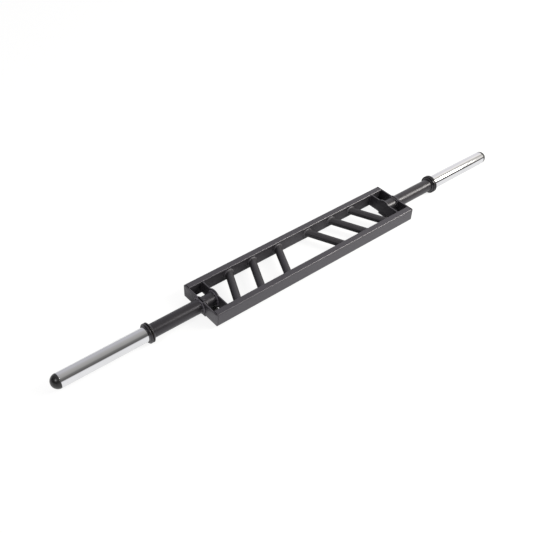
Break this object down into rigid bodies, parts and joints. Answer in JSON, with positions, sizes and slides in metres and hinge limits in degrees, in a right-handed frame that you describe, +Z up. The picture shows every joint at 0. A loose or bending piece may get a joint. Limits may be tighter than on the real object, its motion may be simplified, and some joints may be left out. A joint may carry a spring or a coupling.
{
  "type": "swiss bar",
  "caption": "Multi-grip barbell: a ladder frame of rectangular tube with angled grips, and a turning chrome loading sleeve with a flange and a domed plug at each end.",
  "frame": {"origin": "the middle of the frame, on the axis that both sleeves turn about, which is also the middle of the overall box", "axes": "+X along the bar towards the right end, -Y towards the rail that is nearer the camera in the picture, +Z up, square to the plane of the frame"},
  "size_m": [1.987, 0.185, 0.069],
  "materials": {
    "frame_paint": "satin",
    "grip_paint": "fine textured matt",
    "flange_paint": "satin",
    "chrome": "polished",
    "steel": "turned",
    "bronze": "oiled bronze",
    "zinc": "zinc plated",
    "cap_plastic": "satin moulded"
  },
  "bodies": {
    "frame": {"front_rail": "frame_paint", "rear_rail": "frame_paint", "left_end_plate": "frame_paint", "left_inner_plate": "frame_paint", "left_outer_grip": "grip_paint", "left_middle_grip": "grip_paint", "left_inner_grip": "grip_paint", "left_neck_tube": "frame_paint", "left_neck_flange": "flange_paint", "left_spindle": "steel", "left_spindle_ring": "steel", "left_thrust_washer": "bronze", "left_end_washer": "zinc", "left_end_bolt": "zinc", "right_end_plate": "frame_paint", "right_inner_plate": "frame_paint", "right_outer_grip": "grip_paint", "right_middle_grip": "grip_paint", "right_inner_grip": "grip_paint", "right_neck_tube": "frame_paint", "right_neck_flange": "flange_paint", "right_spindle": "steel", "right_spindle_ring": "steel", "right_thrust_washer": "bronze", "right_end_washer": "zinc", "right_end_bolt": "zinc"},
    "left_sleeve_body": {"left_sleeve": "chrome", "left_sleeve_flange": "flange_paint", "left_inner_bush": "bronze", "left_outer_bush": "bronze", "left_end_cap": "cap_plastic"},
    "right_sleeve_body": {"right_sleeve": "chrome", "right_sleeve_flange": "flange_paint", "right_inner_bush": "bronze", "right_outer_bush": "bronze", "right_end_cap": "cap_plastic"}
  },
  "joints": [
    {"name": "left_sleeve_spin", "type": "hinge", "parent": "frame", "child": "left_sleeve_body", "pos_m": [-0.8135, 0, 0], "axis": [1, 0, 0], "continuous": true},
    {"name": "right_sleeve_spin", "type": "hinge", "parent": "frame", "child": "right_sleeve_body", "pos_m": [0.8135, 0, 0], "axis": [1, 0, 0], "continuous": true}
  ]
}
